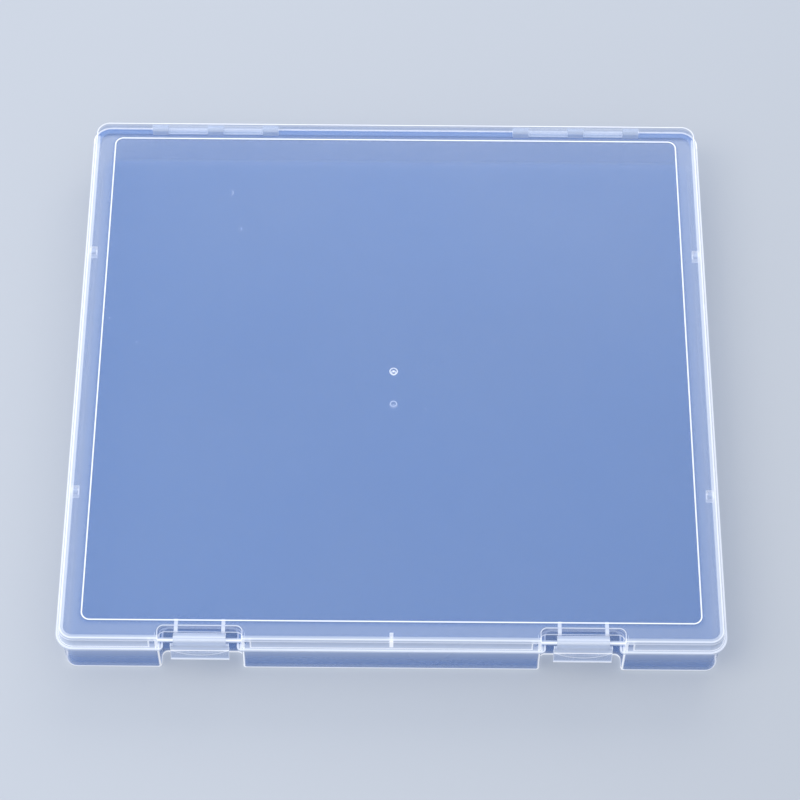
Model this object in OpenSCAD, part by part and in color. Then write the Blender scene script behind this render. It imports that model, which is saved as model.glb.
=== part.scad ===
// Flat clear storage box: a tray with a hinged lid and two snap latches
// +X is right, the latches are at the front (-Y) and the hinges at the back (+Y)
// The origin is on the resting face, under the middle of the flange

/* [Box] */
// Width of the flange, the widest part of the box
box_w = 351.6; // [310:0.2:420]
// Depth of the flange, front to back
box_d = 341; // [300:1:420]
// Plan radius of the flange corners
corner_r = 9.8; // [8.6:0.1:14]
// Smoothness of round shapes, as sides of a full circle
smooth = 64; // [32:8:96]

/* [Base] */
// Height of the base, from the resting face to the top of its flange
base_h = 27; // [24:1:60]
// Thickness of the floor
floor_t = 1.5; // [1.2:0.1:2.2]
// Thickness of the walls
wall_t = 1.5; // [1.2:0.1:2]
// How far the walls lean in from the flange to the floor
wall_lean = 0.5; // [0.3:0.1:1.2]
// Reach of the flange past the outside of the walls
flange_w = 2.7; // [2.4:0.1:3.2]
// Thickness of the flange
flange_t = 1.6; // [1.2:0.1:2.2]
// Radius of the outer edge round the floor
base_edge_r = 1.4; // [1:0.1:2.4]
// Radius of the inner corner between wall and floor
floor_fillet_r = 1.2; // [0.6:0.1:1.6]
// Height of the rim that stands up inside the lid
rim_h = 2.5; // [1.5:0.1:3]
// Thickness of the rim
rim_t = 0.8; // [0.7:0.1:1]
// How far the rim stops short of the latches' notch walls, on each side
rim_end_gap = 0.8; // [0.4:0.1:2]

/* [Lid] */
// Height of the closed lid above the flange
lid_h = 8; // [7.4:0.1:11]
// Thickness of the lid panel
lid_t = 1.5; // [1.2:0.1:2]
// Thickness of the lid skirt
skirt_t = 1.4; // [1.2:0.1:1.6]
// How far the skirt leans in from its lower edge to the panel
skirt_lean = 0.3; // [0.1:0.1:0.6]
// Radius of the edge between panel and skirt
lid_edge_r = 1.2; // [0.6:0.1:1.4]
// Reach of the flange past the lid skirt
lid_set = 1.4; // [1.2:0.1:1.8]
// Gap between the skirt and the flange under it
seat_gap = 0.3; // [0.2:0.1:0.6]
// Gap between the skirt and the rim inside it
rim_gap = 0.35; // [0.2:0.05:0.6]
// Distance from the lid's side edges to the middle of the raised ridge
ridge_inset = 12.4; // [10:0.1:20]
// Distance from the lid's front edge to the middle of the ridge
ridge_front_inset = 11.6; // [11:0.1:20]
// Distance from the lid's back edge to the middle of the ridge
ridge_back_inset = 12.6; // [10:0.1:20]
// Width of the ridge
ridge_w = 1.1; // [0.8:0.1:2]
// Height of the ridge above the panel
ridge_h = 0.8; // [0.4:0.1:1.5]
// Plan radius of the ridge corners, along its middle
ridge_r = 4.5; // [3:0.5:12]

/* [Latch bays] */
// Distance from the middle of the box to the middle of each latch
latch_x = 100; // [60:1:125]
// Width of the notch in the lid
notch_w = 44; // [40:0.5:52]
// Depth of the notch, from the lid edge
notch_d = 8.8; // [8.5:0.1:9.4]
// Radius of the notch's inner corners
notch_r = 3.2; // [2:0.1:5]
// Width of the slit on each side of a notch, where the front skirt is left out
slit_w = 2.8; // [1.5:0.1:5]
// Width of the bay in the wall of the base
bay_w = 43; // [39:0.5:50]
// How far the back of the bay lies behind the edge of the lid notch
bay_set = 2.3; // [1.9:0.1:3]
// Radius of the bay's inner corners
bay_r = 3; // [2:0.5:5]
// Radius of the bay's outer corners, where it meets the front wall
bay_mouth_r = 2.4; // [1:0.1:3]
// Reach of the flange lips into the bay, on each side
lip_w = 2.2; // [1:0.1:3]

/* [Latches] */
// Width of the latch clip
clip_w = 27.4; // [20:0.2:30]
// Width of the latch plate
plate_w = 30.6; // [22:0.2:34]
// Height of the plate below the top of its hook
tail_h = 4.2; // [3.6:0.1:8]
// Outside radius of the clip
clip_r = 3.5; // [3.1:0.1:3.7]
// Radius of the hinge bar that the latch clips on to
bar_r = 1.3; // [1:0.1:1.6]
// Radial clearance of the bar in the clip, and of the lid pin in the hinge knuckles
pin_gap = 0.1; // [0.05:0.01:0.15]
// Thickness of the plate
plate_t = 1.6; // [1.3:0.1:1.9]
// How far the plate leans out at its lower edge
plate_flare = 1.6; // [0.8:0.1:2.4]
// Depth of the thumb scoop in the front of the plate
scoop_deep = 0.6; // [0.3:0.1:0.8]
// Distance from the middle of the clip down to the top of the thumb scoop
scoop_top = 4.2; // [2:0.1:5]
// Height of the thumb scoop, down to the lowest point of its edge
scoop_h = 3.9; // [2:0.1:5]
// Radius of the lower edge of the thumb scoop
scoop_r = 30; // [20:1:40]
// Width of the catch shelf on the base, under each latch
catch_w = 24; // [16:0.5:28]
// Thickness of the catch shelf
catch_t = 1.6; // [1.2:0.1:2.2]
// How far the hook reaches under the catch shelf
hook_grip = 0.8; // [0.4:0.1:1.2]
// Gap between the hook and the catch shelf
hook_gap = 0.3; // [0.2:0.05:0.5]
// Distance between the two stop ribs behind a latch, middle to middle
rib_pitch = 24.7; // [16:0.1:27]
// Thickness of a rib
rib_t = 2; // [1.2:0.1:2.4]

/* [Side lugs] */
// Distance from the middle of the box to the middle of each lug, front to back
lug_y = 78.4; // [40:0.2:120]
// Length of a lug along the side
lug_l = 5.5; // [4:0.1:9]
// Reach of a lug inward from the skirt
lug_reach = 4.6; // [2.6:0.1:6]
// Thickness of a lug's walls
lug_t = 1; // [0.8:0.1:1.3]

/* [Hinges] */
// Distance from the middle of the box to the middle of each hinge
hinge_x = 105; // [60:1:120]
// Length of a hinge
hinge_w = 73; // [50:1:80]
// Length of one base knuckle
knuckle_w = 9; // [6:0.5:14]
// Gap at each end of a knuckle
knuckle_gap = 0.5; // [0.3:0.1:1]
// Outside radius of the hinge barrel
barrel_r = 2.3; // [2:0.05:2.35]
// Radius of the lid's hinge pin
pin_r = 1.3; // [1:0.05:1.5]
// Reach of a knuckle's foot behind the hinge axis
knuckle_heel = 1.2; // [0.8:0.1:1.3]
// Height of the hinge axis above the flange
hinge_up = 2.8; // [2.7:0.05:3.1]
// Distance of the hinge axis inside the lid's back edge
hinge_in = 1.2; // [1:0.05:1.4]

/* [Hidden] */
$fn = smooth;
arc_steps = 6;
lap = 1;
clear_tint = [0.80, 0.86, 0.95, 0.45];
latch_tint = [0.84, 0.89, 0.97, 0.55];

// Corner centres, shared by the outlines of base and lid
core_w = box_w - 2 * corner_r;
core_d = box_d - 2 * corner_r;

// Radii of the nested outlines about the corner centres
wall_out_r = corner_r - flange_w;
foot_r = wall_out_r - wall_lean;
lid_r = corner_r - lid_set;
rim_out_r = lid_r - skirt_lean - skirt_t - rim_gap;
rim_in_r = rim_out_r - rim_t;

// Heights
lid_top = base_h + lid_h;
skirt_foot = base_h + seat_gap;
panel_under = lid_top - lid_t;

// Front edge of the lid, its notches and the bays behind them
lid_front = -core_d / 2 - lid_r;
notch_back = lid_front + notch_d;
bay_back = notch_back + bay_set;
wall_foot_front = -core_d / 2 - foot_r;
notch_wall_x = notch_w / 2 + skirt_t;

// Latch axis: the clip's top lies just under the lid's face, and its front just behind the flange's edge
top_set = 0.3;
front_set = 0.2;
bar_z = lid_top - top_set - clip_r;
bar_y = -box_d / 2 + front_set + clip_r;
clip_bore_r = bar_r + pin_gap;

// Catch: the shelf hangs level with the flange, a little behind the plate
catch_drop = 1;
catch_top = base_h - catch_drop - bar_z;
catch_under = catch_top - catch_t;
catch_behind = 0.4;
catch_edge = catch_behind - plate_t;
hook_top = catch_under - hook_gap;
hook_h = 2.2;
plate_foot = hook_top - tail_h;

// Depth below the clip's axis at which the plate starts to lean out
plate_bend = 1;

// Stop ribs end short of the clip
rib_gap = 0.35;
rib_low = 1.6;
rib_back_reach = 0.7;
ridge_front = lid_front + ridge_front_inset;

// Hinge axis
hinge_y = core_d / 2 + lid_r - hinge_in;
hinge_z = base_h + hinge_up;
knuckle_step = (hinge_w - knuckle_w) / 2;
heel_relief = 0.5;

// Moulding gate in the middle of each panel
gate_y = -2.3;
gate_ring_r = 2.3;
gate_ring_t = 0.5;
gate_dot_r = 0.6;
gate_h = 0.3;
gate_proud = 0.25;

// Snap mouths: width as a multiple of the pin's radius, and the way each one faces
snap_mouth = 1.8;
knuckle_mouth_angle = 45;
clip_mouth_angle = 40;

// Play round the hinge knuckles in the back skirt
barrel_room = 0.7;
barrel_headroom = 0.3;

// Points on an arc about c, from angle a0 to a1
function arc(c, r, a0, a1) = [
    for (i = [0:arc_steps])
        let (a = a0 + (a1 - a0) * i / arc_steps)
            c + r * [cos(a), sin(a)]
];

// Carries a profile round the rectangle of corner centres: x runs outward from them, y is height
module round_the_box() {
    for (side = [0:3]) {
        across = side % 2 == 0 ? core_w : core_d;
        along = side % 2 == 0 ? core_d : core_w;
        rotate([0, 0, 90 * side]) {
            translate([across / 2, 0, 0])
                rotate([90, 0, 0])
                    linear_extrude(height = along, center = true) children();
            translate([across / 2, along / 2, 0]) rotate_extrude(angle = 90) children();
        }
    }
}

// Solid block with the profile round its edge
module solid_block(low, high, profile) {
    round_the_box() polygon(profile);
    translate([-core_w / 2 - lap, -core_d / 2 - lap, low])
        cube([core_w + 2 * lap, core_d + 2 * lap, high - low]);
}

// Rectangle of corner centres, grown by r with round corners
module outline(r) {
    square([core_w + 2 * r, core_d], center = true);
    square([core_w, core_d + 2 * r], center = true);
    for (sx = [-1, 1], sy = [-1, 1])
        translate([sx * core_w / 2, sy * core_d / 2]) circle(r);
}

// Plan of a bay that comes in from the front as far as back, with round inner corners
module bay_plan(w, r, back) {
    front = -box_d / 2 - lap;
    translate([-w / 2, front]) square([w, back - r - front]);
    translate([r - w / 2, front]) square([w - 2 * r, back - front]);
    for (s = [-1, 1]) translate([s * (w / 2 - r), back - r]) circle(r);
}

// One copy at each latch
module at_latches() {
    for (s = [-1, 1]) translate([s * latch_x, 0, 0]) children();
}

// One copy at each hinge
module at_hinges() {
    for (s = [-1, 1]) translate([s * hinge_x, 0, 0]) children();
}

// Round bar along X, centred at y, z
module bar_x(r, length) {
    rotate([0, 90, 0]) cylinder(r = r, h = length, center = true);
}

// What rounds off a convex corner of radius r, between the axes and +X +Y
module corner_cut(r) {
    difference() {
        translate([-0.1, -0.1]) square(r + 0.1);
        translate([r, r]) circle(r);
    }
}

module base_outside() {
    solid_block(0, base_h, concat(
        [[0, 0]],
        arc([foot_r - base_edge_r, base_edge_r], base_edge_r, -90, 0),
        [[wall_out_r, base_h], [0, base_h]]
    ));
}

module base_inside() {
    inside_foot_r = foot_r - wall_t;
    above = base_h + rim_h + lap;
    solid_block(floor_t, above, concat(
        [[0, floor_t]],
        arc([inside_foot_r - floor_fillet_r, floor_t + floor_fillet_r], floor_fillet_r, -90, 0),
        [[rim_in_r, base_h], [rim_in_r, above], [0, above]]
    ));
}

// Tray with its front wall folded in round the two bays
module base_tray() {
    lean = atan(wall_lean / base_h);
    difference() {
        base_outside();
        difference() {
            base_inside();
            at_latches()
                linear_extrude(height = base_h)
                    bay_plan(bay_w + 2 * wall_t, bay_r + wall_t, bay_back + wall_t);
        }
        at_latches() {
            translate([0, 0, -lap])
                linear_extrude(height = base_h + 2 * lap) bay_plan(bay_w, bay_r, bay_back);
            for (s = [0, 1])
                mirror([s, 0, 0])
                    translate([bay_w / 2, wall_foot_front, 0])
                        rotate([lean, 0, 0])
                            translate([0, 0, -lap]) linear_extrude(height = base_h) corner_cut(bay_mouth_r);
        }
    }
}

// Flange with a lip on each side of a bay
module flange() {
    flange_front = -box_d / 2;
    lip_x = bay_w / 2 - lip_w;
    translate([0, 0, base_h - flange_t])
        linear_extrude(height = flange_t)
            difference() {
                outline(corner_r);
                difference() {
                    outline(rim_in_r);
                    for (s = [-1, 1])
                        translate([s * latch_x, 0])
                            bay_plan(bay_w + 2 * wall_t, bay_r + wall_t, bay_back + wall_t);
                }
                for (s = [-1, 1])
                    translate([s * latch_x, 0]) {
                        bay_plan(2 * lip_x, bay_r, bay_back);
                        for (m = [0, 1])
                            mirror([m, 0])
                                translate([lip_x, flange_front]) corner_cut(bay_mouth_r);
                    }
            }
}

// Rim that keeps the lid in place, left out along the back and at the bays
module rim() {
    rim_back_gap = 2;
    rim_end = core_d / 2 - rim_back_gap;
    rim_gap_x = notch_wall_x + rim_end_gap;
    translate([0, 0, base_h - lap])
        linear_extrude(height = rim_h + lap)
            difference() {
                outline(rim_out_r);
                outline(rim_in_r);
                translate([-box_w / 2, rim_end]) square([box_w, box_d / 2]);
                for (s = [-1, 1])
                    translate([s * latch_x - rim_gap_x, -box_d / 2]) square([2 * rim_gap_x, corner_r + lap]);
            }
}

// Shelf that a latch hooks under, on two gussets
module catch_shelf() {
    shelf_front = bar_y + catch_edge;
    shelf_back = bay_back + wall_t / 2;
    gusset_x = catch_w / 3;
    gusset_set = 2.5;
    gusset_drop = 7;
    gusset_foot = 1;
    gusset_t = 1.5;
    translate([-catch_w / 2, shelf_front, bar_z + catch_under])
        cube([catch_w, shelf_back - shelf_front, catch_t]);
    for (s = [-1, 1])
        translate([s * gusset_x, 0, bar_z + catch_under + catch_t / 2])
            rotate([90, 0, 90])
                linear_extrude(height = gusset_t, center = true)
                    polygon([
                        [shelf_front + gusset_set, 0],
                        [shelf_back, 0],
                        [shelf_back, -gusset_drop],
                        [bay_back - gusset_foot, -gusset_drop]
                    ]);
}

// Knuckles of one hinge, each with a snap mouth for the pin
module base_knuckles() {
    mouth_w = snap_mouth * pin_r;
    for (k = [-1:1])
        translate([k * knuckle_step, hinge_y, hinge_z])
            difference() {
                union() {
                    bar_x(barrel_r, knuckle_w);
                    translate([-knuckle_w / 2, -barrel_r, -hinge_up - flange_t / 2])
                        cube([knuckle_w, barrel_r + knuckle_heel, hinge_up + flange_t / 2]);
                }
                bar_x(pin_r + pin_gap, knuckle_w + 2 * lap);
                rotate([knuckle_mouth_angle, 0, 0])
                    translate([-knuckle_w / 2 - lap, 0, -mouth_w / 2])
                        cube([knuckle_w + 2 * lap, barrel_r + lap, mouth_w]);
            }
}

// Ring and dot left by the moulding gate, on a face at z = 0
module gate_mark() {
    difference() {
        cylinder(r = gate_ring_r, h = gate_h);
        translate([0, 0, -lap]) cylinder(r = gate_ring_r - gate_ring_t, h = gate_h + 2 * lap);
    }
    cylinder(r = gate_dot_r, h = gate_h);
}

module base() {
    gate_dish = 0.5;
    dish_rim = 0.7;
    color(clear_tint) {
        difference() {
            union() {
                base_tray();
                flange();
                rim();
            }
            translate([0, gate_y, -lap]) cylinder(r = gate_ring_r + dish_rim, h = lap + gate_dish);
        }
        translate([0, gate_y, gate_dish - gate_proud]) gate_mark();
        at_latches() catch_shelf();
        at_hinges() base_knuckles();
    }
}

module lid_outside() {
    edge_in = lid_r - skirt_lean - lid_edge_r;
    solid_block(skirt_foot, lid_top, concat(
        [[0, skirt_foot], [lid_r, skirt_foot]],
        arc([edge_in, lid_top - lid_edge_r], lid_edge_r, 0, 90),
        [[0, lid_top]]
    ));
}

module lid_inside() {
    below = skirt_foot - lap;
    solid_block(below, panel_under, [
        [0, below],
        [lid_r - skirt_t, below],
        [lid_r - skirt_t, skirt_foot],
        [lid_r - skirt_t - skirt_lean, panel_under],
        [0, panel_under]
    ]);
}

// Panel and skirt, with the skirt folded in round the two notches
module lid_shell() {
    difference() {
        lid_outside();
        difference() {
            lid_inside();
            at_latches()
                translate([0, 0, skirt_foot])
                    linear_extrude(height = lid_h)
                        bay_plan(notch_w + 2 * skirt_t, notch_r + skirt_t, notch_back + skirt_t);
        }
        at_latches() {
            translate([0, 0, skirt_foot - lap])
                linear_extrude(height = lid_h + 2 * lap) bay_plan(notch_w, notch_r, notch_back);
            for (s = [0, 1])
                mirror([s, 0, 0])
                    translate([notch_wall_x, lid_front - lap, skirt_foot - lap])
                        cube([slit_w, skirt_t + skirt_lean + lap, panel_under - skirt_foot + lap]);
        }
        hinge_room();
    }
}

// Room for the knuckles in the back skirt, and a lifted heel that swings clear of the flange
module hinge_room() {
    room_top = hinge_z + barrel_r + barrel_headroom;
    heel_y = hinge_y - barrel_r - barrel_room;
    translate([-box_w / 2, heel_y, skirt_foot - lap])
        cube([box_w, box_d / 2 - heel_y, heel_relief + lap]);
    at_hinges()
        translate([-hinge_w / 2 - knuckle_gap, heel_y, skirt_foot - lap])
            cube([hinge_w + 2 * knuckle_gap, box_d / 2 - heel_y, room_top - skirt_foot + lap]);
}

// Raised line round the panel
module ridge() {
    ridge_x = core_w / 2 + lid_r - ridge_inset;
    ridge_back = core_d / 2 + lid_r - ridge_back_inset;
    half_d = (ridge_back - ridge_front) / 2;
    translate([0, ridge_front + half_d, panel_under + lid_t / 2])
        linear_extrude(height = lid_t / 2 + ridge_h)
            difference() {
                ridge_plan(ridge_x, half_d, ridge_w / 2);
                ridge_plan(ridge_x, half_d, -ridge_w / 2);
            }
}

module ridge_plan(half_w, half_d, grow) {
    r = ridge_r + grow;
    inner_w = half_w - ridge_r;
    inner_d = half_d - ridge_r;
    square([2 * (inner_w + r), 2 * inner_d], center = true);
    square([2 * inner_w, 2 * (inner_d + r)], center = true);
    for (sx = [-1, 1], sy = [-1, 1])
        translate([sx * inner_w, sy * inner_d]) circle(r);
}

// Hinge bar across a notch, and the two ribs that stop the opened latch
module latch_mount() {
    rib_under = lid_top - rib_low - bar_z;
    clip_back = sqrt(clip_r ^ 2 - rib_under ^ 2);
    rib_front = bar_y + clip_back + rib_gap;
    rib_back = ridge_front + rib_back_reach;
    translate([0, bar_y, bar_z]) bar_x(bar_r, notch_w + skirt_t);
    for (s = [-1, 1])
        translate([s * rib_pitch / 2 - rib_t / 2, rib_front, lid_top - rib_low])
            cube([rib_t, rib_back - rib_front, rib_low + ridge_h]);
}

// Lid barrels of one hinge and the pin through them
module lid_knuckles() {
    barrel_w = knuckle_step - knuckle_w - 2 * knuckle_gap;
    web_t = 1.8;
    translate([0, hinge_y, hinge_z]) {
        bar_x(pin_r, hinge_w - 2 * knuckle_gap);
        for (s = [-1, 1])
            translate([s * knuckle_step / 2, 0, 0]) {
                bar_x(barrel_r, barrel_w);
                translate([-barrel_w / 2, -web_t / 2, 0])
                    cube([barrel_w, web_t, panel_under + lid_t / 2 - hinge_z]);
            }
    }
}

// Square lug under the panel, open to the skirt, just over the rim
module side_lug() {
    lug_h = panel_under - base_h - rim_h - seat_gap;
    skirt_in = core_w / 2 + lid_r - skirt_t;
    lug_in = skirt_in - lug_reach;
    translate([0, 0, base_h + rim_h + seat_gap])
        linear_extrude(height = lug_h + lid_t / 2)
            difference() {
                translate([lug_in, -lug_l / 2]) square([lug_reach + skirt_t / 3, lug_l]);
                translate([lug_in + lug_t, lug_t - lug_l / 2]) square([lug_reach, lug_l - 2 * lug_t]);
            }
}

// Gusset in the middle of the front, between panel and skirt
module front_gusset() {
    gusset_t = 1.7;
    reach = 5.3;
    foot_w = 2;
    skirt_in = lid_front + skirt_t / 2;
    low = base_h + rim_h + seat_gap;
    rotate([90, 0, 90])
        linear_extrude(height = gusset_t, center = true)
            polygon([
                [skirt_in, panel_under + lid_t / 2],
                [skirt_in, low],
                [skirt_in + foot_w, low],
                [lid_front + reach, panel_under],
                [lid_front + reach, panel_under + lid_t / 2]
            ]);
}

module lid() {
    color(clear_tint) {
        lid_shell();
        ridge();
        at_latches() latch_mount();
        at_hinges() lid_knuckles();
        for (sx = [0, 1], y = [-lug_y, lug_y])
            translate([0, y, 0]) mirror([sx, 0, 0]) side_lug();
        front_gusset();
        translate([0, gate_y, lid_top + gate_proud - gate_h]) gate_mark();
    }
}

// Section of the clip, about the bar's axis: y is the first coordinate, z the second
module clip_section() {
    mouth_w = snap_mouth * bar_r;
    difference() {
        circle(clip_r);
        circle(clip_bore_r);
        rotate(-clip_mouth_angle) translate([0, -mouth_w / 2]) square([clip_r + lap, mouth_w]);
    }
}

// Section of the plate, with its hook behind and its grip lip at the foot
module plate_section() {
    hook_tip = catch_edge + hook_grip;
    foot_front = -clip_r - plate_flare;
    lip_out = 0.5;
    lip_h = 1;
    polygon([
        [-clip_r, 0],
        [-clip_r, -plate_bend],
        [foot_front, plate_foot + lip_h],
        [foot_front - lip_out, plate_foot + lip_h - lip_out / 2],
        [foot_front - lip_out, plate_foot],
        [foot_front + plate_t, plate_foot],
        [plate_back(hook_top - hook_h), hook_top - hook_h],
        [hook_tip, hook_top - hook_h / 4],
        [hook_tip, hook_top],
        [plate_back(hook_top), hook_top],
        [plate_t - clip_r, -plate_bend],
        [plate_t - clip_r, 0]
    ]);
}

// Back face of the plate at height z
function plate_back(z) = plate_t - clip_r - plate_flare * (plate_bend + z) / (plate_bend + plate_foot);

// Thumb scoop: flat above, curved below
module thumb_scoop() {
    lean = atan(plate_flare / (-plate_bend - plate_foot));
    top = plate_bend - scoop_top;
    translate([0, -clip_r, -plate_bend])
        rotate([lean - 90, 0, 0])
            rotate([180, 0, 0])
                translate([0, 0, -scoop_deep])
                    linear_extrude(height = scoop_deep + lap)
                        intersection() {
                            translate([0, top - scoop_h + scoop_r]) circle(scoop_r);
                            translate([-plate_w, top - 2 * scoop_h]) square([2 * plate_w, 2 * scoop_h]);
                        }
}

// One latch, hung on its bar
module latch() {
    translate([0, bar_y, bar_z])
        difference() {
            union() {
                rotate([90, 0, 90]) linear_extrude(height = clip_w, center = true) clip_section();
                difference() {
                    rotate([90, 0, 90]) linear_extrude(height = plate_w, center = true) plate_section();
                    bar_x(clip_bore_r, plate_w + lap);
                }
            }
            thumb_scoop();
        }
}

module left_latch() {
    color(latch_tint) translate([-latch_x, 0, 0]) latch();
}

module right_latch() {
    color(latch_tint) translate([latch_x, 0, 0]) latch();
}

base();
lid();
left_latch();
right_latch();
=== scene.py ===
"""Clear storage box with a hinged lid and two snap latches.

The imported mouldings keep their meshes. This scene gives them their plastics, and adds a camera, lamps and
a floor.
"""

import math

import bpy
from mathutils import Matrix, Vector

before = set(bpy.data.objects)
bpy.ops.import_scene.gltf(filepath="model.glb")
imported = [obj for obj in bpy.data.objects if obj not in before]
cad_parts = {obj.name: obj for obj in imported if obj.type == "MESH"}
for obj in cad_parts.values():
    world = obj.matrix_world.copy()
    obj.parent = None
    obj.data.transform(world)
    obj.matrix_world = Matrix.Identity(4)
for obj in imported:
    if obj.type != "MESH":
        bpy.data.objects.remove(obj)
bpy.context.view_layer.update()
MM = 0.001


# Shader maths


class Value:
    """A socket of a material. Arithmetic on it adds the Math nodes that work it out."""

    def __init__(self, recipe, socket):
        self.recipe, self.socket = recipe, socket

    def _math(self, operation, *numbers):
        return self.recipe.node("ShaderNodeMath", {"operation": operation}, *numbers)

    def __add__(self, other):
        return self._math("ADD", self, other)

    def __sub__(self, other):
        return self._math("SUBTRACT", self, other)

    def __rsub__(self, other):
        return self._math("SUBTRACT", other, self)

    def __mul__(self, other):
        return self._math("MULTIPLY", self, other)

    __radd__, __rmul__ = __add__, __mul__

    def least(self, other):
        return self._math("MINIMUM", self, other)

    def most(self, other):
        return self._math("MAXIMUM", self, other)

    def size(self):
        return self._math("ABSOLUTE", self)

    def ramp(self, start, end):
        """0 at start, 1 at end, with smooth ends; start may be the higher of the two."""
        settings = {"interpolation_type": "SMOOTHSTEP"}
        return self.recipe.node("ShaderNodeMapRange", settings, Value=self, From_Min=start, From_Max=end)


class Recipe:
    """The nodes of one material, round a Principled BSDF."""

    def __init__(self, name):
        self.material = bpy.data.materials.new(name)
        self.material.use_nodes = True
        self.tree = self.material.node_tree
        self.shader = self.tree.nodes["Principled BSDF"]

    def node(self, kind, settings=None, *values, out=0, **named):
        """Adds a node: its settings first, then the value or link of each socket, by order or by name."""
        made = self.tree.nodes.new(kind)
        for key, value in (settings or {}).items():
            setattr(made, key, value)
        by_name = [(made.inputs[key.replace("_", " ")], value) for key, value in named.items()]
        for socket, value in list(zip(made.inputs, values)) + by_name:
            self.feed(socket, value)
        return Value(self, made.outputs[out])

    def feed(self, socket, value):
        if isinstance(value, Value):
            self.tree.links.new(value.socket, socket)
        else:
            socket.default_value = value

    def set(self, **sockets):
        """Feeds the shader's own sockets."""
        for name, value in sockets.items():
            self.feed(self.shader.inputs[name.replace("_", " ")], value)

    def vector(self, operation, *values):
        """Vector Math; a length or a distance comes back as a number."""
        number = operation in ("LENGTH", "DISTANCE")
        return self.node("ShaderNodeVectorMath", {"operation": operation}, *values, out=1 if number else 0)

    def point(self, *coordinates):
        return self.node("ShaderNodeCombineXYZ", None, *coordinates)

    def parts(self, vector):
        """A vector's three coordinates."""
        split = self.node("ShaderNodeSeparateXYZ", None, vector)
        return [Value(self, socket) for socket in split.socket.node.outputs]

    def colour(self, share, a, b):
        """Colour a where share is 0, b where it is 1."""
        mix = self.node("ShaderNodeMix", {"data_type": "RGBA"}, out=2)
        factor, first, second = (mix.socket.node.inputs[i] for i in (0, 6, 7))
        for socket, value in ((factor, share), (first, a), (second, b)):
            self.feed(socket, value)
        return mix

    def place(self):
        """Where a point lies on the closed box, in millimetres."""
        metres = self.node("ShaderNodeTexCoord", out=3)
        return self.node("ShaderNodeVectorMath", {"operation": "SCALE"}, metres, Scale=1 / MM)

    def outward(self, point, half_x, half_y):
        """How far a point, folded into one quarter, lies outside a rectangle in plan; 0 within it."""
        past = self.vector("SUBTRACT", point, (half_x, half_y, FAR))
        return self.vector("LENGTH", self.vector("MAXIMUM", past, (0, 0, 0)))

    def inset(self, bay_place, half_w, back, corner):
        """Distance from the wall of a recess in the front, rising to the front of it: 0 on the wall."""
        return corner - self.outward(bay_place, half_w - corner, back - corner)

    def near_points(self, point, marks, reach):
        """1 on the nearest of some marks, fading to 0 at reach from it."""
        nearest = None
        for mark in marks:
            away = self.vector("DISTANCE", point, (*mark, 0, 0)[:3])
            nearest = away if nearest is None else nearest.least(away)
        return nearest.ramp(0.95 * reach, 0.25 * reach)

    def in_blocks(self, point, blocks):
        """1 inside any of some blocks, given by their lowest and highest corners, 0 outside them."""
        nearest = None
        for low, high in blocks:
            middle = [(a + b) / 2 for a, b in zip(low, high)]
            half = [(b - a) / 2 for a, b in zip(low, high)]
            off = self.vector("ABSOLUTE", self.vector("SUBTRACT", point, middle))
            past = self.vector("MAXIMUM", self.vector("SUBTRACT", off, half), (0, 0, 0))
            away = self.vector("LENGTH", past)
            nearest = away if nearest is None else nearest.least(away)
        return nearest.ramp(0.3, 0)


# Sizes of the closed box, in millimetres. "Out" is how far a wall stands outside the core rectangle, and a
# recess is given by its half width, the y of its back wall and its corner radius.

FAR = 99
CORE = (166.0, 160.7)
LID_OUT, FLANGE_OUT, FOOT_OUT = 8.4, 9.8, 6.6
RIM_OUT, RIM_IN = 6.35, 5.55
BASE_TOP, SKIRT_FOOT, RIM_TOP, LID_TOP = 27, 27.3, 29.5, 35
WALL_LEAN = 0.5 / BASE_TOP
LATCH_X, HINGE_X = 100.0, 105.0
NOTCH, BAY, LIP = (22, -160.3, 3.2), (21.5, -158, 3.0), (19.3, -158, 3.0)
RIDGE_Y, RIDGE_HALF, RIDGE_R = -0.5, (162.0, 157.0), 4.5
BAR_HALF, LATCH_HALF = 22.6, 15
GATE_Y, LID_GATE_Z, BASE_GATE_Z, GATE_R = -2.3, 35.1, 0.4, 2.05

# Where the look of the front and of the back sets in, along y
LID_FRONT, BASE_FRONT, BACK = (-150, -160), (-145, -156), (157.5, 160)

# Pairs of opposite corners. The first four are measured in x from a latch's middle, so the gusset in the
# middle of the front is 100 away. The lugs are folded into one quarter, and the hinges have their x from
# their own middle.
GUSSET = ((99.15, -169, 29), (100.85, -163, 34.6))
STOP_RIB = ((11.5, -164, 33.4), (13.2, -156.9, 36))
NOTCH_WALL = ((21.9, -169, 27.2), (23.5, -163.6, 34.4))
SLIT_EDGE = ((25.9, -169.2, 27.2), (26.8, -166.6, 33.7))
LUG = ((168.4, 75.7, 29.7), (172.7, 81.1, 33.6))
LUG_MIDDLE = ((169.4, 76.7, 28), (171.8, 80.1, 35))
HINGE, PANEL_OVER_HINGE = ((-1, 163.6, 26.9), (36.5, 170.6, 33.2)), ((-1, 162.2, 34.9), (36.5, 166.4, 35.1))

# Highlights along the latches' bar, and along the latch: y and z of each
BAR_SHINE = (-167.5, 32.3)
CLIP_BACK, CLIP_TOP, SCOOP_TOP = (-164.0, 33.1), (-166.9, 34.6), (-170.8, 27.05)
GRIP_TOP, LATCH_FOOT = (-172.2, 20.9), (-172.3, 20.0)
SCOOP_Z, SCOOP_R = 53.2, 30

# Small marks of use on the lid: specks, and two short arcs with their radii
SPECKS = [(-142.6, 15.9, LID_TOP), (55.8, 18.3, LID_TOP), (17.6, -26.4, LID_TOP), (-158.5, 31.7, LID_TOP)]
SCUFFS = [((-94.9, 118.3, LID_TOP), 2.2), ((-88.9, 93.1, LID_TOP), 1.8)]

# Plastics

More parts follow.
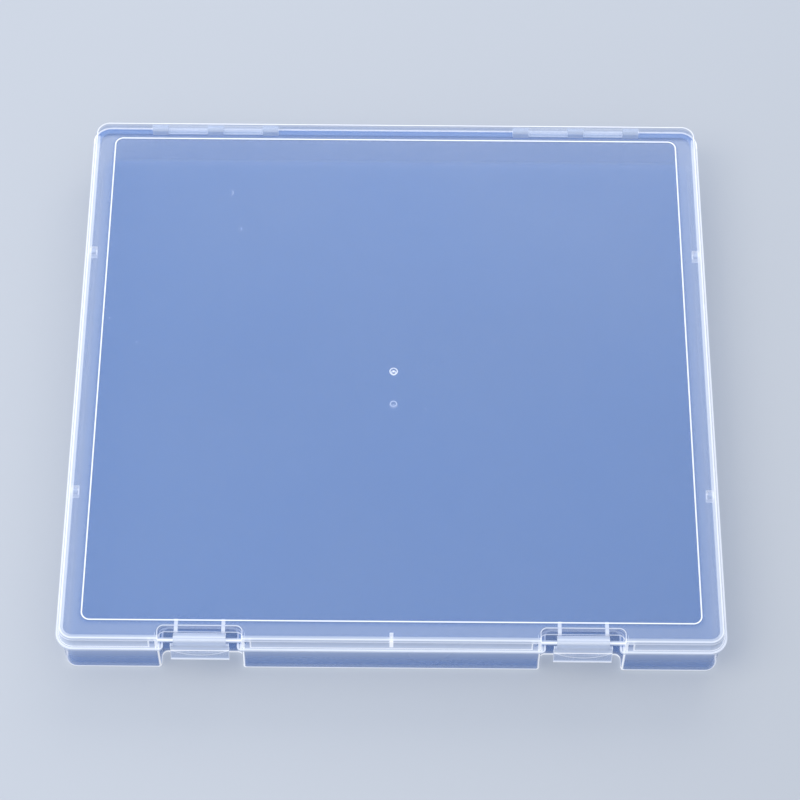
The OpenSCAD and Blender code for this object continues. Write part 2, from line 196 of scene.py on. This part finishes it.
PANEL_HAZE = (0.13, 0.27, 0.64, 1)
RIM_HAZE = (0.72, 0.80, 0.97, 1)
# The next two colours are the white and the glow of the painted highlights along the edges.
HIGHLIGHT_WHITE = (0.74, 0.76, 0.80, 1)
PAINTED_GLOW = (0.97, 0.98, 1.0, 1)
DARK = (0, 0, 0, 1)
SHADOW = (0.90, 0.915, 0.94, 1)
HAZE = 0.25
MOST_ALPHA = 0.95


def clear_plastic(r, place, painted_highlight_and_wear, milk, haze):
    """Clear polypropylene: a thin bluish haze on the broad faces, milky where walls stack up, and painted
    highlights in white with a painted glow along the edges. Lamps shine through it."""
    cloud = r.node("ShaderNodeTexNoise", None, Vector=place, Scale=0.012, Detail=0)
    alpha = cloud * 0.06 + (milk * 0.12 + (haze - 0.03)) + painted_highlight_and_wear * 0.62
    r.set(
        Base_Color=r.colour(painted_highlight_and_wear, r.colour(milk, PANEL_HAZE, RIM_HAZE), HIGHLIGHT_WHITE),
        Alpha=alpha.least(MOST_ALPHA),
        Roughness=cloud * 0.12 + 0.2,
        Emission_Color=r.colour(painted_highlight_and_wear, DARK, PAINTED_GLOW),
        Emission_Strength=0.42,
        IOR=1.5,
    )
    r.material.cycles.emission_sampling = "NONE"
    lamp_ray = r.node("ShaderNodeLightPath", out=1)
    clear = r.node("ShaderNodeBsdfTransparent", None, SHADOW)
    shown = r.node("ShaderNodeMixShader", None, lamp_ray, Value(r, r.shader.outputs[0]), clear)
    r.feed(r.tree.nodes["Material Output"].inputs["Surface"], shown)
    return r.material


def gate_ring(r, place, height):
    """Painted highlight on the ring and dot of a moulding gate."""
    away = r.vector("DISTANCE", place, (0, GATE_Y, height))
    return (away - GATE_R).size().ramp(0.55, 0.1).most(away.ramp(1.0, 0.4))


def in_hinges(r, x, y, z):
    return r.in_blocks(r.point((x.size() - HINGE_X).size(), y, z), [HINGE, PANEL_OVER_HINGE])


def wear(r, place, x):
    """Specks and short arcs on the lid."""
    marks = r.near_points(place, SPECKS, 0.8) * 0.35
    for centre, radius in SCUFFS:
        arc = (r.vector("DISTANCE", place, centre) - radius).size().ramp(0.4, 0.1)
        marks = marks.most(arc * (x - centre[0]).ramp(-0.5, radius) * 0.35)
    return marks


def lid_plastic():
    r = Recipe("clear_lid")
    place = r.place()
    folded = r.vector("ABSOLUTE", place)
    x, y, z = r.parts(place)
    front, back = y.ramp(*LID_FRONT), y.ramp(*BACK)
    side = (x.size() - LATCH_X).size()
    bay_place = r.point(side, y, z)
    plan = r.outward(folded, *CORE)
    outer, notch = plan - LID_OUT, r.inset(bay_place, *NOTCH)

    # Painted highlights: white lines with a painted glow along the skirt foot, the top edge, the notches,
    # the ridge, the gate ring, the ribs, slits and lugs, and the latches' bar.
    skirt_foot = r.near_points(r.point(outer.most(notch), z), [(0, SKIRT_FOOT)], 0.75)
    skirt_foot = skirt_foot * (front * 0.45 + 0.45)
    top_round = r.near_points(r.point(outer, z), [(-1.3, LID_TOP - 0.05), (-0.3, LID_TOP - 1.1)], 0.65)
    notch_top = r.near_points(r.point(notch, z), [(0, LID_TOP)], 0.65) * 0.75
    from_ridge = r.vector("ABSOLUTE", r.vector("SUBTRACT", place, (0, RIDGE_Y, 0)))
    to_ridge = r.outward(from_ridge, *(half - RIDGE_R for half in RIDGE_HALF))
    ridge = (to_ridge - RIDGE_R).size().ramp(0.55, 0.2) * z.ramp(LID_TOP + 0.2, LID_TOP + 0.6)
    bar = r.near_points(r.point(y, z), [BAR_SHINE], 0.9) * side.ramp(BAR_HALF + 0.6, BAR_HALF) * 0.8
    painted_highlight_and_wear = skirt_foot.most(top_round * (back * 0.35 + 0.6 - front * 0.12))
    painted_highlight_and_wear = painted_highlight_and_wear.most(notch_top).most(ridge).most(bar)
    painted_highlight_and_wear = painted_highlight_and_wear.most(gate_ring(r, place, LID_GATE_Z) * 0.8)
    painted_highlight_and_wear = painted_highlight_and_wear.most(r.in_blocks(bay_place, [STOP_RIB, NOTCH_WALL, SLIT_EDGE]) * 0.55)
    painted_highlight_and_wear = painted_highlight_and_wear.most(r.in_blocks(bay_place, [GUSSET]) * 0.9)
    painted_highlight_and_wear = painted_highlight_and_wear.most(r.in_blocks(folded, [LUG]) * 0.8 - r.in_blocks(folded, [LUG_MIDDLE]) * 0.5)
    # The specks and scuffs are real wear. They are added to the painted highlights, so they take the same
    # white and painted glow.
    painted_highlight_and_wear = painted_highlight_and_wear.most(wear(r, place, x))

    border = to_ridge.ramp(3.8, 7.5) * 0.35 * (1 - back)
    rim = plan.ramp(5.0, 5.6) * (1.5 - back * 1.5)
    milk = border.most(rim).most(in_hinges(r, x, y, z) * 0.7)
    return clear_plastic(r, place, painted_highlight_and_wear, milk, HAZE - back * 0.12)


def base_plastic():
    r = Recipe("clear_base")
    place = r.place()
    x, y, z = r.parts(place)
    front, back = y.ramp(*BASE_FRONT), y.ramp(*BACK)
    bay_place = r.point((x.size() - LATCH_X).size(), y)
    plan = r.outward(r.vector("ABSOLUTE", place), *CORE)
    bay = r.inset(bay_place, *BAY)
    flange = (plan - FLANGE_OUT).most(r.inset(bay_place, *LIP))
    face = plan - (z * WALL_LEAN + FOOT_OUT)

    # Painted highlights: white lines with a painted glow along the flange edge, the foot, the bays, the rim
    # and the gate ring. Their strength changes from front to back.
    flange_edge = r.near_points(r.point(flange, z), [(-0.2, BASE_TOP), (-0.7, BASE_TOP)], 0.6)
    foot = r.near_points(r.point(face, z), [(-0.1, 0.9)], 1.8) * (front * 0.75 + 0.25)
    bay_foot = r.near_points(r.point(bay, z), [(0.1, 0.9)], 1.8)
    bay_top = r.near_points(r.point(bay, z), [(0, BASE_TOP), (-1.5, BASE_TOP)], 0.75) * 0.5
    bay_mouth = r.near_points(r.point(bay, face), [(-0.7, -0.7)], 1.1)
    bay_mouth = bay_mouth * z.ramp(BASE_TOP - 1, BASE_TOP - 2)
    rim = r.near_points(r.point(plan, z), [(RIM_OUT, RIM_TOP), (RIM_IN, RIM_TOP)], 0.6)
    painted_highlight_and_wear = (flange_edge * (back * 0.3 + 0.65 - front * 0.2)).most(foot)
    painted_highlight_and_wear = painted_highlight_and_wear.most(bay_foot).most(bay_top).most(bay_mouth)
    painted_highlight_and_wear = painted_highlight_and_wear.most(rim * (back * 0.7 + 0.25) * (1 - front)).most(gate_ring(r, place, BASE_GATE_Z) * 0.8)

    hinge = in_hinges(r, x, y, z)
    milk = (plan.ramp(5.4, 6.5) * z.ramp(2, 24) * (1 - back)).most(hinge * 1.4)
    # Denser haze high on the back wall and on the front wall. On the front wall it is painted shade,
    # darkening the wall where shade is seen through it.
    haze = (z.ramp(22, 26) * back * 0.3).most(front * 0.1) + HAZE
    return clear_plastic(r, place, painted_highlight_and_wear * (1 - hinge * 0.7), milk, haze)


def latch_plastic():
    r = Recipe("clear_latch")
    place = r.place()
    x, y, z = r.parts(place)
    side = (x.size() - LATCH_X).size()
    section = r.point(y, z)
    # Painted highlights: white lines with a painted glow along the clip, the latch's foot, the grip, the
    # scoop and the latch's ends.
    outline = r.near_points(section, [CLIP_BACK, LATCH_FOOT], 1.0) * 0.9
    faint = r.near_points(section, [CLIP_TOP, GRIP_TOP], 0.6) * 0.4
    smile = (r.vector("DISTANCE", r.point(side, z), (0, SCOOP_Z, 0)) - SCOOP_R).size().ramp(0.45, 0.1)
    scoop = smile * z.ramp(27.3, 26.9) * y.ramp(-169.6, -170) * 0.6
    painted_highlight_and_wear = outline.most(r.near_points(section, [SCOOP_TOP], 0.6)).most(faint).most(scoop)
    painted_highlight_and_wear = painted_highlight_and_wear.most(side.ramp(LATCH_HALF - 0.2, LATCH_HALF + 0.2) * 0.4)
    milk = z.ramp(BASE_TOP - 0.3, BASE_TOP + 0.3) * 0.8 + 0.5
    return clear_plastic(r, place, painted_highlight_and_wear, milk, HAZE + 0.05)


base, lid, latch = base_plastic(), lid_plastic(), latch_plastic()
for node, material in {"base": base, "lid": lid, "left_latch": latch, "right_latch": latch}.items():
    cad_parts[node].material_slots[0].material = material


# Camera, lamps and floor


def photo_camera():
    """Camera that looks at the lid from in front and above, turned slightly about its own line of sight."""
    azimuth, elevation, roll = (math.radians(a) for a in (-0.132, 57.987, 0.55))
    target = Vector((3.6, -20.78, 35.0)) * MM
    distance = 1556.9 * MM
    focal_px, frame_px, sensor = 2845.9, 800, 36
    level = math.cos(elevation)
    back = Vector((math.sin(azimuth) * level, -math.cos(azimuth) * level, math.sin(elevation)))
    right = (-back).cross(Vector((0, 0, 1))).normalized()
    up = back.cross(right)
    across = math.cos(roll) * right + math.sin(roll) * up
    upward = math.cos(roll) * up - math.sin(roll) * right
    data = bpy.data.cameras.new("photo_camera")
    data.sensor_width = sensor
    data.lens = sensor * focal_px / frame_px
    camera = bpy.data.objects.new("photo_camera", data)
    turn = Matrix((across, upward, back)).transposed()
    camera.matrix_world = Matrix.Translation(target + distance * back) @ turn.to_4x4()
    bpy.context.scene.collection.objects.link(camera)
    bpy.context.scene.camera = camera


def soft_light(name, at, size, watts):
    """Rectangular lamp that faces the middle of the box."""
    data = bpy.data.lights.new(name, "AREA")
    data.shape = "RECTANGLE"
    data.size, data.size_y = size
    data.energy = watts
    data.specular_factor = 0.2
    lamp = bpy.data.objects.new(name, data)
    at = Vector(at)
    lamp.matrix_world = Matrix.Translation(at) @ (-at).to_track_quat("-Z", "Y").to_matrix().to_4x4()
    bpy.context.scene.collection.objects.link(lamp)


def pale_floor():
    """Sheet of paper, a hair under the box so that the two don't share a face."""
    half, low = 3.0, -0.1 * MM
    corners = [(-half, -half, low), (half, -half, low), (half, half, low), (-half, half, low)]
    mesh = bpy.data.meshes.new("floor")
    mesh.from_pydata(corners, [], [(0, 1, 2, 3)])
    floor = bpy.data.objects.new("floor", mesh)
    bpy.context.scene.collection.objects.link(floor)
    r = Recipe("floor_paper")
    mesh.materials.append(r.material)
    r.set(Base_Color=(0.50, 0.54, 0.61, 1), Roughness=0.9)


def studio_world():
    world = bpy.data.worlds.new("studio")
    world.use_nodes = True
    background = world.node_tree.nodes["Background"]
    background.inputs["Color"].default_value = (0.92, 0.95, 1.0, 1)
    background.inputs["Strength"].default_value = 0.55
    bpy.context.scene.world = world


photo_camera()
pale_floor()
soft_light("key", (-0.9, -0.5, 1.6), (1.2, 1.2), 22)
soft_light("back", (0.3, 1.3, 1.1), (1.6, 0.8), 12)
studio_world()
scene = bpy.context.scene
scene.view_settings.view_transform = "Standard"
scene.cycles.transparent_max_bounces = 32
scene.cycles.max_bounces = 3
scene.cycles.diffuse_bounces = 1
scene.cycles.glossy_bounces = 1
